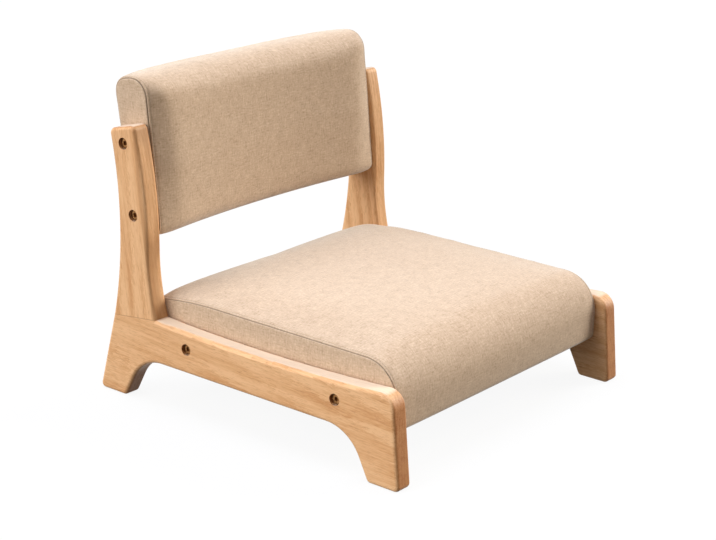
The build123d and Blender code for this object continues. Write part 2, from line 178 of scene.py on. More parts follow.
class SeatSettings(bpy.types.PropertyGroup):
    nose_radius: length("Nose Radius", "Rounding over the front edge", 0.044)
    heel_radius: length("Heel Radius", "Rounding over the rear edge", 0.015)
    hem_radius: length("Hem Radius", "Rounding under the front", 0.006)
    crown: length("Crown", "Rise of the middle above the side seams", 0.0115)
    swell: length("Front Swell", "Bulge of the front before it is filled", 0.0015)
    rear_drop: length("Rear Drop", "Fall of the side seams at the rear", 0.009)
    puff: length("Puff", "Most that the filling may move the cover", 0.0045)
    wrap: length("Wrap", "Cover turned under the frame", 0.022)


class BackSettings(bpy.types.PropertyGroup):
    above: length("Above Bolt", "Top seam above the upper bolts", 0.0730)
    below: length("Below Bolt", "Bottom seam under the upper bolts", 0.1120)
    front_top: length("Front Top", "Front seam before the bolts, at the top", 0.0245)
    front_low: length("Front Low", "Front seam before the bolts, at the foot", 0.0150)
    rear: length("Rear", "Rear seam behind the bolts", 0.0270)
    sagitta: length("Curve", "Depth of the curve in plan", 0.0200)
    front_crown: length("Front Crown", "Bulge of the front before filling", 0.0130)
    flank_top: length("Flank Top", "Width of the rise from an end seam, above", 0.024)
    flank_low: length("Flank Low", "Width of the rise from an end seam, below", 0.044)
    rear_crown: length("Rear Crown", "Bulge of the rear before filling", 0.0025)
    top_crown: length("Top Crown", "Rise of the top before filling", 0.0065)
    puff: length("Puff", "Most that the filling may move the cover", 0.0045)


class StageSettings(bpy.types.PropertyGroup):
    lens: amount("Lens", "Focal length on a 36 mm sensor", 93.36)
    place: FloatVectorProperty(
        name="Camera Place",
        description="Where the camera stands",
        default=(-1.6771, -1.3255, 0.8633),
        subtype="TRANSLATION",
    )
    azimuth: angle("Azimuth", "Direction of the view", -51.6)
    elevation: angle("Elevation", "How far the view looks down", 18.58)
    roll: angle("Roll", "Turn of the camera about its view", 1.45)
    floor: colour("Floor", "Floor as the camera sees it", (0.86, 0.86, 0.86))
    ambient: amount("Ambient", "Strength of the light all round", 0.24)
    key: amount("Key", "Strength of the light from the right", 3.4)
    side: amount("Side", "Strength of the light from the left", 2.8)
    top: amount("Top", "Strength of the light from above", 2.0)


# ---- Node helpers ----
def new_material(name):
    """A material with only a Principled shader, its tree and that shader."""
    material = bpy.data.materials.new(name)
    material.use_nodes = True
    tree = material.node_tree
    return material, tree, tree.nodes["Principled BSDF"]


def add_node(tree, kind, inputs=(), **settings):
    """A node with its settings, and its inputs set or linked by name."""
    node = tree.nodes.new(kind)
    for name, value in settings.items():
        setattr(node, name, value)
    feed_all(tree, node, dict(inputs))
    return node


def feed(tree, socket, value):
    """Sets an input, or links it where the value is another node's output."""
    if isinstance(value, bpy.types.NodeSocket):
        tree.links.new(value, socket)
    elif socket.type == "RGBA":
        socket.default_value = (*value, 1.0)
    else:
        socket.default_value = value


def feed_all(tree, node, inputs):
    for name, value in inputs.items():
        feed(tree, node.inputs[name], value)


def object_place(tree):
    return add_node(tree, "ShaderNodeTexCoord").outputs["Object"]


def cloth_place(tree):
    return add_node(tree, "ShaderNodeUVMap", uv_map=CLOTH_MAP).outputs["UV"]


def stretched(tree, vector, scale, **more):
    """The pattern's coordinates, scaled by axis."""
    inputs = {"Vector": vector, "Scale": scale, **more}
    return add_node(tree, "ShaderNodeMapping", inputs).outputs["Vector"]


def noise_of(tree, vector, scale, detail, roughness=0.6):
    """Noise whose pattern is scaled by axis."""
    inputs = {"Vector": stretched(tree, vector, scale), "Scale": 1.0}
    inputs.update({"Detail": detail, "Roughness": roughness})
    return add_node(tree, "ShaderNodeTexNoise", inputs).outputs["Fac"]


def wave_of(tree, vector, period, shape, **settings):
    """A wave; shape is its distortion, and its detail with scale and roughness."""
    names = ("Distortion", "Detail", "Detail Scale", "Detail Roughness")
    inputs = {"Vector": vector, "Scale": WAVE / period, **dict(zip(names, shape))}
    return add_node(tree, "ShaderNodeTexWave", inputs, **settings).outputs["Fac"]


def spread(tree, value, low, high, to_low=0.0, to_high=1.0):
    """Value from low to high, made to_low to to_high."""
    inputs = {"Value": value, "From Min": low, "From Max": high}
    inputs.update({"To Min": to_low, "To Max": to_high})
    node = add_node(tree, "ShaderNodeMapRange", inputs, interpolation_type="SMOOTHSTEP")
    return node.outputs["Result"]


def maths(tree, operation, first, second):
    inputs = {0: first, 1: second}
    return add_node(tree, "ShaderNodeMath", inputs, operation=operation).outputs[0]


def vector_maths(tree, operation, first, second, output="Value"):
    inputs = {0: first, 1: second}
    node = add_node(tree, "ShaderNodeVectorMath", inputs, operation=operation)
    return node.outputs[output]


def added(tree, first, *others):
    for other in others:
        first = maths(tree, "ADD", first, other)
    return first


def by_axis(tree, vector):
    return add_node(tree, "ShaderNodeSeparateXYZ", {"Vector": vector}).outputs


def mixed(tree, share, first, second, blend="MIX"):
    """Two colours mixed by share."""
    inputs = {0: share, 6: first, 7: second}
    node = add_node(tree, "ShaderNodeMix", inputs, data_type="RGBA", blend_type=blend)
    return node.outputs[2]


def bump(tree, height, distance, strength=1.0):
    inputs = {"Height": height, "Distance": distance, "Strength": strength}
    return add_node(tree, "ShaderNodeBump", inputs).outputs["Normal"]


# ---- Materials ----
def solid_wood(name, settings, turn, pith, grain, bores, arris_shade=None):
    """Solid wood cut from a log.

    Turn, in degrees, brings the grain upright, and pith is the log's heart.
    """
    material, tree, shader = new_material(name)
    spot = add_node(tree, "ShaderNodeTexCoord").outputs
    place = spot["Object"]
    turn = tuple(math.radians(degrees) for degrees in turn)
    log = stretched(tree, place, (1, 1, 1), Rotation=turn, Location=pith)
    rings = wave_of(
        tree,
        stretched(tree, log, (1, 1, 0.16)),
        settings.ring,
        (5.0, 2.0, 9.0, 0.55),
        wave_type="RINGS",
        rings_direction="Z",
        wave_profile="SAW",
    )
    grains = [noise_of(tree, log, *look) for look in GRAIN.values()]
    drift, band, streaks, fibre, pores = grains
    late = spread(tree, rings, 0.30, 1.0, 0.0, 0.62)
    late = maths(tree, "MULTIPLY", late, spread(tree, drift, 0.3, 0.62, 0.3, 1.0))
    tone = added(
        tree,
        late,
        spread(tree, streaks, 0.42, 0.72, 0.0, 0.44),
        spread(tree, band, 0.32, 0.68, -0.16, 0.28),
        spread(tree, fibre, 0.35, 0.7, -0.10, 0.22),
    )
    body = mixed(tree, tone, settings.pale, settings.dark)
    open_pores = spread(tree, pores, 0.58, 0.72, 0.0, 0.50)
    body = mixed(tree, open_pores, body, settings.pore)
    # Painted shade: a dark streak along the left post's front arris.
    if arris_shade:
        wander = spread(tree, drift, 0.2, 0.8, -0.004, 0.004)
        aside = added(tree, by_axis(tree, log)["Y"], wander, -arris_shade)
        aside = maths(tree, "ABSOLUTE", aside, 0.0)
        share = spread(tree, aside, 0.0010, 0.0042, 0.62, 0.0)
        body = mixed(tree, share, body, tuple(c * 0.72 for c in settings.dark))
    facing = spot["Normal"]
    ends = vector_maths(tree, "DOT_PRODUCT", facing, grain)
    ends = spread(tree, maths(tree, "ABSOLUTE", ends, 0.0), 0.55, 0.97)
    body = mixed(tree, ends, body, settings.end_grain, "MULTIPLY")
    # Painted highlight: faces turned up are mixed towards the pale top colour.
    top_highlight_share = spread(tree, by_axis(tree, facing)["Z"], 0.85, 0.985, 0.0, 0.6)
    body = mixed(tree, top_highlight_share, body, settings.top_highlight)
    body = mixed(tree, glue_line(tree, place), body, settings.pore)
    # Painted shade in the bolt holes.
    body = mixed(tree, bolt_hole_shade(tree, place, bores), body, settings.bore_shade)
    relief = maths(tree, "SUBTRACT", fibre, maths(tree, "MULTIPLY", open_pores, 1.5))
    looks = {
        "Base Color": body,
        "Roughness": spread(tree, fibre, 0.3, 0.75, 0.40, 0.56),
        "Specular IOR Level": 0.25,
        "Normal": bump(tree, relief, 0.00012, 0.5),
    }
    feed_all(tree, shader, looks)
    return material


def bolt_hole_shade(tree, place, bores):
    """Painted shade in the bolt holes: 1 inside them, centred on (Y, Z), and 0 on the
    wood round them.
    """
    flat = vector_maths(tree, "MULTIPLY", place, (0.0, 1.0, 1.0), "Vector")
    nearest = 1.0
    for y, z in bores:
        gap = vector_maths(tree, "DISTANCE", flat, (0.0, y, z))
        nearest = maths(tree, "MINIMUM", gap, nearest)
    return spread(tree, nearest, *BORE_EDGE, 0.9, 0.0)


def glue_line(tree, place):
    """A hairline where the post is glued on the rail."""
    height, slope, middle = GLUE_LINE
    parts = by_axis(tree, place)
    lift = maths(tree, "MULTIPLY", added(tree, parts["Y"], -middle), slope)
    gap = maths(tree, "ABSOLUTE", added(tree, parts["Z"], lift, -height), 0.0)
    return spread(tree, gap, 0.0002, 0.0009, 0.55, 0.0)


def woven_fabric(name, settings):
    """Heathered plain weave on the cloth map, with painted shade down in its seams."""
    material, tree, shader = new_material(name)
    cloth, place = cloth_place(tree), object_place(tree)
    across, along = 0.62 / settings.yarn, 95
    warp = noise_of(tree, cloth, (across, along, 1), 2.0)
    weft = noise_of(tree, cloth, (along, across, 1), 2.0)
    fleck = noise_of(tree, cloth, (420, 420, 1), 2.0)
    cloud = noise_of(tree, place, (75, 75, 75), 3.0)
    tone = added(
        tree,
        spread(tree, added(tree, warp, weft), 0.72, 1.28, -0.35, 0.35),
        spread(tree, fleck, 0.3, 0.7, -0.27, 0.27),
        spread(tree, cloud, 0.3, 0.7, -0.15, 0.15),
    )
    light = spread(tree, tone, 0.0, 0.7)
    dark = spread(tree, tone, 0.0, -0.7)
    body = mixed(tree, light, settings.middle, settings.light)
    body = mixed(tree, dark, body, settings.dark)
    # Painted shade: darker down in the seams, and lighter shade along the topstitching.
    depth = add_node(tree, "ShaderNodeAttribute", attribute_name=SEAM_SHADE)
    shade = spread(tree, depth.outputs["Fac"], 0.02, 0.9, 0.0, 0.85)
    body = mixed(tree, shade, body, tuple(c * 0.35 for c in settings.dark))
    over, under = (
        wave_of(tree, cloth, settings.yarn, (0.8, 1.0, 40.0, 0.5), bands_direction=way)
        for way in "XY"
    )
    weave = maths(tree, "MAXIMUM", over, under)
    relief = added(tree, maths(tree, "MULTIPLY", weave, 0.6), fleck)
    looks = {
        "Base Color": body,
        "Roughness": 0.9,
        "Specular IOR Level": 0.2,
        "Sheen Weight": 0.55,
        "Sheen Roughness": 0.4,
        "Sheen Tint": (0.95, 0.98, 1.0),
        "Normal": bump(tree, relief, 0.0003, 0.55),
    }
    feed_all(tree, shader, looks)
    return material


def felted_cloth(name, body):
    """Spunbonded cloth: pressed fibres and a fine dotted emboss."""
    material, tree, shader = new_material(name)
    cloth = cloth_place(tree)
    fibres = noise_of(tree, cloth, (900, 900, 1), 4.0, 0.7)
    inputs = {"Vector": cloth, "Scale": 620.0, "Randomness": 0.0}
    dots = add_node(tree, "ShaderNodeTexVoronoi", inputs).outputs["Distance"]
    pressed = spread(tree, dots, 0.12, 0.30, 1.0, 0.0)
    relief = maths(tree, "SUBTRACT", fibres, pressed)
    looks = {
        "Base Color": mixed(tree, fibres, body, tuple(c * 1.9 for c in body)),
        "Roughness": spread(tree, pressed, 0.0, 1.0, 0.85, 0.6),
        "Normal": bump(tree, relief, 0.0002, 0.5),
    }
    feed_all(tree, shader, looks)
    return material


def plain_metal(name, body, worn, roughness):
    """Machined metal with faint turning marks and worn high spots."""
    material, tree, shader = new_material(name)
    place = object_place(tree)
    patch = noise_of(tree, place, (420, 420, 420), 4.0, 0.65)
    marks = noise_of(tree, place, (1600, 1600, 1600), 2.0, 0.5)
    looks = {
        "Base Color": mixed(tree, spread(tree, patch, 0.38, 0.70), body, worn),
        "Metallic": 1.0,
        "Roughness": spread(tree, patch, 0.3, 0.7, *roughness),
        "Normal": bump(tree, marks, 0.00005, 0.4),
    }
    feed_all(tree, shader, looks)
    return material


def inner_material(name, first, second, scale):
    """Two colours along a grain, for the inner wood and the thread."""
    material, tree, shader = new_material(name)
    grain = noise_of(tree, object_place(tree), scale, 4.0)
    looks = {
        "Base Color": mixed(tree, spread(tree, grain, 0.35, 0.68), first, second),
        "Roughness": 0.75,
        "Normal": bump(tree, grain, 0.0002, 0.4),
    }
    feed_all(tree, shader, looks)
    return material


def shared(name, make, *looks):
    """The material of that name, made on its first use."""
    return bpy.data.materials.get(name) or make(name, *looks)


def dress(material, *names):
    """Gives CAD nodes their material in their own slots."""
    for name in names:
        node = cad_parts[name]
        for slot in node.material_slots:
            slot.material = material


# ---- Shape helpers ----
def rounded_path(corners):
    """Runs and arcs of a path: corners are (Y, Z, radius), and the ends have none."""
    parts = []
    spots = [(Vector(c[:2]), c[2]) for c in corners]
    start = spots[0][0]
    for index in range(1, len(spots) - 1):
        corner, radius = spots[index]
        before = (spots[index - 1][0] - corner).normalized()
        after = (spots[index + 1][0] - corner).normalized()
        half = before.angle(after) / 2
        leg = radius / math.tan(half)
        first, last = corner + before * leg, corner + after * leg
        centre = corner + (before + after).normalized() * radius / math.sin(half)
        parts += [(start, first, None), (first, last, centre)]
        start = last
    parts.append((start, spots[-1][0], None))
    return [part for part in parts if (part[1] - part[0]).length > 1e-7]


def part_length(part):
    first, last, centre = part
    if centre is None:
        return (last - first).length
    return (first - centre).length * (first - centre).angle(last - centre)


def point_on(parts, run):
    """The point at a distance along the path, and the way that faces out of it."""
    for part in parts:
        size = part_length(part)
        if run <= size + 1e-9 or part is parts[-1]:
            break
        run -= size
    first, last, centre = part
    share = min(max(run / size, 0), 1)
    if centre is None:
        along = (last - first).normalized()
        return first.lerp(last, share), Vector((-along.y, along.x))
    spoke = (first - centre).slerp(last - centre, share).normalized()
    return centre + spoke * (first - centre).length, spoke


def half_arc(parts, index):
    """Distance along the path to the middle of one of its arcs."""
    return sum(part_length(p) for p in parts[:index]) + part_length(parts[index]) / 2


def eased(share):
    """0 to 1 with a soft start and end."""
    share = min(max(share, 0), 1)
    return share * share * (3 - 2 * share)


def crown_share(x, half, shape, power):
    """1 along the middle of a cushion, 0 at its ends."""
    return max(0.0, 1 - min(abs(x) / half, 1) ** shape) ** power


def spaced(start, end, steps):
    return [start + (end - start) * i / steps for i in range(steps)]


def cushion_columns(half, inset):
    """Places across a cushion: both seams, both rows of topstitching, even between."""
    inner = half - inset
    cells = round(2 * inner / CELL)
    return [-half, *spaced(-inner, inner, cells), inner, half]


def fitted_patch(bm, across, along, place, mapped, panel):
    """A grid of faces whose corner (i, j) lies at place(i, j), with its cloth map."""
    made = bmesh.ops.create_grid(bm, x_segments=across, y_segments=along, size=1)
    layer = bm.loops.layers.uv.get(CLOTH_MAP) or bm.loops.layers.uv.new(CLOTH_MAP)
    sheet = bm.faces.layers.int.get("panel") or bm.faces.layers.int.new("panel")
    index = {
        vert: (round((vert.co.x + 1) / 2 * across), round((vert.co.y + 1) / 2 * along))
        for vert in made["verts"]
    }
    for face in {f for vert in index for f in vert.link_faces}:
        face[sheet] = panel
        for loop in face.loops:
            loop[layer].uv = mapped(*index[loop.vert])
    for vert, spot in index.items():
        vert.co = place(*spot)
    return {spot: vert for vert, spot in index.items()}


def main_panel(bm, half, inset, rows, point):
    """The panel round a cushion, its two ends and its rows of topstitching."""
    columns = cushion_columns(half, inset)
    last = len(columns) - 1
    main = fitted_patch(
        bm,
        last,
        len(rows) - 1,
        lambda i, j: point(columns[i], rows[j]),
        lambda i, j: (columns[i], rows[j]),
        0,
    )
    ends, stitched = (
        [[main[i, j] for j in range(len(rows))] for i in pair]
        for pair in ((0, last), (1, last - 1))
    )
    return main, ends, stitched


def blended(bottom, top, left, right):
    """A place function that fills the space inside four matching runs of points."""
    across, along = len(bottom) - 1, len(left) - 1

    def place(i, j):
        s, t = i / across, j / along
        ruled = bottom[i].lerp(top[i], t) + left[j].lerp(right[j], s)
        return ruled - bottom[0].lerp(bottom[-1], s).lerp(top[0].lerp(top[-1], s), t)

    return place


def end_panel(bm, runs, panel):
    """The flat panel inside four runs of points, mapped by its own Y and Z."""
    place = blended(*runs)

    def mapped(i, j):
        spot = place(i, j)
        return (spot.y + panel, spot.z)

    across, along = len(runs[0]) - 1, len(runs[2]) - 1
    return fitted_patch(bm, across, along, place, mapped, panel)


def sew(bm, stitched, closing=()):
    """Joins the panels, and marks their seams 1 and the rows of topstitching 2.

    Closing holds the points where a sleeve is seamed to itself.
    """
    kind = bm.edges.layers.int.new("line")
    for verts in stitched:
        for pair in zip(verts, verts[1:]):
            bm.edges.get(pair)[kind] = 2
    bmesh.ops.remove_doubles(bm, verts=bm.verts, dist=WELD)
    sheet = bm.faces.layers.int["panel"]
    for edge in bm.edges:
        if len({face[sheet] for face in edge.link_faces}) > 1:
            edge[kind] = 1
    tree = KDTree(max(len(closing), 1))
    for index, spot in enumerate(closing):
        tree.insert(spot, index)
    tree.balance()
    for edge in bm.edges if closing else ():
        if all(tree.find(vert.co)[2] < WELD for vert in edge.verts):
            edge[kind] = 1
    bmesh.ops.recalc_face_normals(bm, faces=bm.faces)
    bm.verts.index_update()
    return [[vert.index for vert in verts if vert.is_valid] for verts in stitched]


def held_verts(bm, rests):
    """Points on the seams, and those that rest on the chair's frame."""
    kind = bm.edges.layers.int["line"]
    seams = {v.index for e in bm.edges if e[kind] == 1 for v in e.verts}
    return seams | {v.index for v in bm.verts if rests(v.co)}


def to_object(bm, name, material):
    mesh = bpy.data.meshes.new(name)
    bm.to_mesh(mesh)
    bm.free()
    mesh.materials.append(material)
    piece = bpy.data.objects.new(name, mesh)
    bpy.context.scene.collection.objects.link(piece)
    for polygon in mesh.polygons:
        polygon.use_smooth = True
    return piece


def fill_cover(piece, held, settings, limit):
    """Fills the cover by cloth simulation; no point moves further than its limit."""
    scene = bpy.context.scene
    group = piece.vertex_groups.new(name="held")
    group.add(sorted(held), 1.0, "REPLACE")
    cloth = piece.modifiers.new("filling", "CLOTH")
    for name, value in FILLING.items():
        setattr(cloth.settings, name, value)
    cloth.settings.uniform_pressure_force = settings.pressure
    cloth.settings.effector_weights.gravity = 0
    cloth.settings.vertex_group_mass = group.name
    cloth.collision_settings.use_collision = False
    for step in range(1, settings.frames + 1):
        scene.frame_set(step)
    graph = bpy.context.evaluated_depsgraph_get()
    filled = [v.co.copy() for v in piece.evaluated_get(graph).data.vertices]
    piece.modifiers.remove(cloth)
    piece.vertex_groups.remove(group)
    scene.frame_set(1)
    moves = [end - vert.co for vert, end in zip(piece.data.vertices, filled)]
    for _ in range(settings.evening):
        moves = evened(moves, piece.data.edges, held)
    furthest = 0
    for vert, move in zip(piece.data.vertices, moves):
        furthest = max(furthest, move.length)
        if move.length > 1e-7:
            cap = limit(vert.co)
            vert.co += move * (cap * math.tanh(move.length / cap) / move.length)
    print(f"{piece.name}: filling moved the cover by up to {furthest * 1000:.1f} mm")


def evened(moves, edges, held):
    """Each move drawn half way to the mean of its neighbours' moves."""
    total, met = [Vector() for _ in moves], [0] * len(moves)
    for edge in edges:
        first, last = edge.vertices
        for near, far in ((first, last), (last, first)):
            total[near] += moves[far]
            met[near] += 1
    return [
        move if index in held else move.lerp(total[index] / met[index], 0.5)
        for index, move in enumerate(moves)
    ]


def gather(piece, half, settings):
    """Small gathers where the sleeve is eased into its end seams."""
    start, reach, across, along = 0.004, 0.022, 14, 78
    for vert in piece.data.vertices:
        inside = half - abs(vert.co.x)
        if 1e-4 < inside < reach:
            x, y, z = vert.co
            wave = noise.noise(Vector((x * across, y * along, z * along)))
            fade = min(inside / start, 1) * (1 - inside / reach) ** 1.5
            vert.co += vert.normal * settings.pucker * 2 * wave * fade


def press_lines(bm, settings):
    """Presses the seams and the rows of topstitching into the cover, and stores the
    painted shade along them.
    """
    kind = bm.edges.layers.int["line"]
    depth = bm.verts.layers.float.new(SEAM_SHADE)
    crease = bm.edges.layers.float.new("crease_edge")
    wide, deep = settings.seam_width, settings.seam_depth
    # Each line: half width, sink, painted shade and crease.
    looks = {1: (wide, deep, 1.0, 0.85), 2: (wide * 0.8, deep * 0.4, 0.3, 0.0)}
    for line, (width, sink, shade, hard) in looks.items():
        edges = [edge for edge in bm.edges if edge[kind] == line]
        made = bmesh.ops.bevel(
            bm,
            geom=edges,
            offset=width,
            segments=2,
            profile=0.5,
            affect="EDGES",
            material=-1,
            clamp_overlap=True,
        )
        strip = set(made["faces"])
        valley = {v for v in made["verts"] if all(f in strip for f in v.link_faces)}
        bm.normal_update()
        for vert in valley:
            vert.co -= vert.normal * sink
            vert[depth] = shade
        for edge in {e for vert in valley for e in vert.link_edges}:
            if valley.issuperset(edge.verts):
                edge[crease] = hard
        for edge in bm.edges:
            if edge[kind] == line:
                edge[kind] = 0


def keep_sharp(bm, edges):
    crease = bm.edges.layers.float["crease_edge"]
    for edge in edges:
        edge[crease] = 1.0


def finish_cushion(piece, *nodes):
    smooth = piece.modifiers.new("smooth", "SUBSURF")
    smooth.levels = smooth.render_levels = 1
    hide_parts(*nodes)
    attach(piece, BODY)


def sew_and_fill(name, bm, stitched, half, held, limit, close):
    """Makes the cover an object, fills it, presses its lines in and closes it."""
    cloth = bpy.context.scene.chair_upholstery
    fabric = shared("upholstery_fabric", woven_fabric, cloth)
    piece = to_object(bm, name, fabric)
    fill_cover(piece, held, cloth, limit)
    gather(piece, half, cloth)
    paths = [[piece.data.vertices[i].co.copy() for i in row] for row in stitched]
    bm = bmesh.new()
    bm.from_mesh(piece.data)
    press_lines(bm, cloth)
    close(bm)
    bm.to_mesh(piece.data)
    bm.free()
    return piece, paths


def add_topstitch(piece, name, paths, cloth):
    """Lays a row of stitches along each path on the finished cushion."""
    surface = BVHTree.FromObject(piece, bpy.context.evaluated_depsgraph_get())
    lift, half_wide, half_high = 0.0001, 0.00034, 0.0003
    shape = Matrix.Diagonal((cloth.stitch / 2, half_wide, half_high, 1))
    bm = bmesh.new()
    for path in paths:
        run, since = 0.0, cloth.stitch_pitch / 2
        for start, end in zip(path, path[1:]):
            size, along = (end - start).length, (end - start).normalized()
            while run + size > since:
                spot = start.lerp(end, (since - run) / size)
                place, normal, _, _ = surface.find_nearest(spot)
                side = normal.cross(along).normalized()
                turn = Matrix((side.cross(normal), side, normal)).transposed().to_4x4()
                turn.translation = place + normal * lift
                bmesh.ops.create_uvsphere(
                    bm, u_segments=6, v_segments=4, radius=1, matrix=turn @ shape
                )
                since += cloth.stitch_pitch
            run += size
    tones = cloth.thread, tuple(c * 0.8 for c in cloth.thread)
    thread = shared("stitching_thread", inner_material, *tones, (2600, 2600, 2600))
    rows = to_object(bm, name, thread)
    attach(rows, BODY)


# ---- Seat ----
def seat_corners(settings):
    """Side profile of the seat: front hem, nose, heel and rear hem."""
    low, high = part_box("seat_cover")
    front_in, rear_in, below = SEAT_INSET
    front, rear = low.y + front_in, high.y - rear_in
    hem, seam = low.z, high.z - below
    return [
        (front, hem, 0),
        (front, seam, settings.nose_radius),
        (rear, seam, settings.heel_radius),
        (rear, hem, 0),
    ]


def seat_point(x, run, parts, half, settings):
    """Where a point of the seat cover lies before it is filled."""
    (y, z), (out_y, out_z) = point_on(parts, run)
    front, rear = parts[0][0].x, parts[-1][1].x
    share = crown_share(x, half, *SEAT_DOME)
    middle, reach = (front + rear) / 2, (rear - front) / 2
    flatter, wider, spared = 0.5, 1.8, 0.6
    rise = settings.crown * (1 - flatter * ((y - middle) / reach) ** 2)
    behind = max(0.0, (y - (rear - REAR_FALL)) / REAR_FALL)
    fall = settings.rear_drop * behind**2 * (1 - spared * min(1.0, wider * share))
    z += max(out_z, 0.0) * (share * rise - fall)
    under = max(0.0, 1 - (z - parts[0][0].y) / settings.hem_radius)
    tuck = settings.hem_radius * (1 - math.sqrt(1 - min(under, 1) ** 2))
    y += (share * settings.swell - tuck) * min(out_y, 0.0)
    return Vector((x, y, z))


def build_seat_cover(half, seat, cloth):
    """The open cover: main panel from hem to hem and two side panels."""
    bm = bmesh.new()
    parts = rounded_path(seat_corners(seat))
    total = sum(part_length(p) for p in parts)
    nose, heel = half_arc(parts, 1), half_arc(parts, 3)
    low_rows, top_rows = 16, 76
    rows = spaced(0, nose, low_rows) + spaced(nose, heel, top_rows)
    rows += [*spaced(heel, total, low_rows), total]

    def point(x, run):
        return seat_point(x, run, parts, half, seat)

    _, ends, stitched = main_panel(bm, half, cloth.stitch_inset, rows, point)
    for panel, end in enumerate(ends, 1):
        profile = [vert.co.copy() for vert in end]
        top = profile[low_rows : low_rows + top_rows + 1]
        left, right = profile[: low_rows + 1], profile[::-1][: low_rows + 1]
        hem = [left[0].lerp(right[0], i / top_rows) for i in range(top_rows + 1)]
        end_panel(bm, (hem, top, left, right), panel)
    return bm, sew(bm, stitched)


def turn_in(bm, edges, start, goal, height):
    """Extrudes a rim and refits it from one rectangle to another, at a height."""
    made = bmesh.ops.extrude_edge_only(bm, edges=edges)["geom"]
    verts = [g for g in made if isinstance(g, bmesh.types.BMVert)]
    (x0, y0, x1, y1), (u0, v0, u1, v1) = start, goal
    for vert in verts:
        x, y = (vert.co.x - x0) / (x1 - x0), (vert.co.y - y0) / (y1 - y0)
        vert.co = (u0 + (u1 - u0) * x, v0 + (v1 - v0) * y, height)
    new = set(verts)
    return list({e for v in verts for e in v.link_edges if set(e.verts) <= new})


def grown(box, by):
    """A rectangle (low X, low Y, high X, high Y) grown on all sides."""
    return (box[0] - by, box[1] - by, box[2] + by, box[3] + by)


def close_seat(bm, seat):
    """Turns the cover under the frame and lines the room for frame and board."""
    rim = [edge for edge in bm.edges if edge.is_boundary]
    across, along, _ = zip(*(vert.co for edge in rim for vert in edge.verts))
    outer = (min(across), min(along), max(across), max(along))
    board_low, board_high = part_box("seat_board")
    board = (*board_low.xy, *board_high.xy)
    lip, turned = grown(outer, -0.002), grown(board, -seat.wrap)
    room = grown(board, GAP)
    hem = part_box("seat_cover")[0].z
    floor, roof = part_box("seat_frame_front")[0].z - GAP, board_high.z + GAP
    edges, last = turn_in(bm, rim, outer, lip, hem), lip
    for goal, height in ((turned, hem), (turned, floor), (room, floor), (room, roof)):
        edges = turn_in(bm, edges, last, goal, height)
        keep_sharp(bm, edges)
        last = goal
    made = bmesh.ops.holes_fill(bm, edges=edges, sides=0)["faces"]
    bmesh.ops.triangulate(bm, faces=made)
    bmesh.ops.recalc_face_normals(bm, faces=bm.faces)


class CHAIR_OT_seat_cushion(bpy.types.Operator):
    """Sews, fills and closes the padded seat"""

    bl_idname = "chair.seat_cushion"
    bl_label = "Seat Cushion"

    def execute(self, context):
        seat, cloth = context.scene.chair_seat, context.scene.chair_upholstery
        low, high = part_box("seat_cover")
        half = high.x
        bm, stitched = build_seat_cover(half, seat, cloth)
        side, hem, flank = half - 1e-4, low.z + 1e-4, 0.05
        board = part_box("seat_board")[1].z
        piece, paths = sew_and_fill(
            "seat_cushion",
            bm,
            stitched,
            half,
            held_verts(bm, lambda c: c.z < hem or (abs(c.x) > side and c.z < board)),
            lambda c: seat.puff * (0.3 + 0.7 * eased((half - abs(c.x)) / flank)),
            lambda bm: close_seat(bm, seat),
        )
        finish_cushion(piece, "seat_cover", "seat_foam")
        add_topstitch(piece, "seat_topstitch", paths, cloth)
        return {"FINISHED"}


class CHAIR_OT_dust_cover(bpy.types.Operator):
    """Stretches the thin cloth that closes the seat underneath"""

    bl_idname = "chair.dust_cover"
    bl_label = "Dust Cover"

    def execute(self, context):
        low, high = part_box("seat_dust_cover")
        inset, thick, below = 0.009, 0.0005, 0.0010
        hem, hem_sink, slack_reach = 0.012, 0.0004, 0.05
        width, depth = high.x - low.x - 2 * inset, high.y - low.y - 2 * inset
        middle = Vector(((low.x + high.x) / 2, (low.y + high.y) / 2, low.z - below))
        bm = bmesh.new()
        grid = bmesh.ops.create_grid(bm, x_segments=64, y_segments=56, size=0.5)
        layer = bm.loops.layers.uv.new(CLOTH_MAP)
        for vert in grid["verts"]:
            x, y = vert.co.x * width, vert.co.y * depth
            edge = min(width / 2 - abs(x), depth / 2 - abs(y))
            slack = min(edge / slack_reach, 1.0)
            sag = slack * (0.0002 + 0.0003 * noise.noise(Vector((x * 22, y * 22, 3.0))))
            tuck = hem_sink if 0.001 < edge < hem else 0.0
            vert.co = middle + Vector((x, y, -sag - tuck))
        for face in bm.faces:
            for loop in face.loops:
                loop[layer].uv = loop.vert.co.xy
        cloth = felted_cloth("dust_cover_cloth", (0.030, 0.030, 0.032))
        piece = to_object(bm, "dust_cover", cloth)
        wall = piece.modifiers.new("cloth", "SOLIDIFY")
        wall.thickness, wall.offset = thick, 0.0
        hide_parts("seat_dust_cover")
        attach(piece, BODY)
        return {"FINISHED"}


# ---- Back ----
def bolt_centres(name):
    """Where the two bolts of a node lie in Y and Z, the lower or front one first."""
    (_, *low), (_, *high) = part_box(name)
    return [c + BOLT_HEAD for c in low], [c - BOLT_HEAD for c in high]


def back_axes():
    """Upper bolts, the way to the rear and the way up the leaning posts."""
    lower, upper = (Vector((0, *spot)) for spot in bolt_centres("back_bolts_left"))
    up = (upper - lower).normalized()
    return upper, Vector((0, up.z, -up.y)), up


def back_corners(back):
    """Closed end profile of the back, from its closing seam underneath."""
    closing = (0.012, -back.below, 0)
    front_foot, front_top, rear_top, rear_foot = BACK_RADII
    return [
        closing,
        (-back.front_low, -back.below, front_foot),
        (-back.front_top, back.above, front_top),
        (back.rear, back.above, rear_top),
        (back.rear, -back.below, rear_foot),
        closing,
    ]


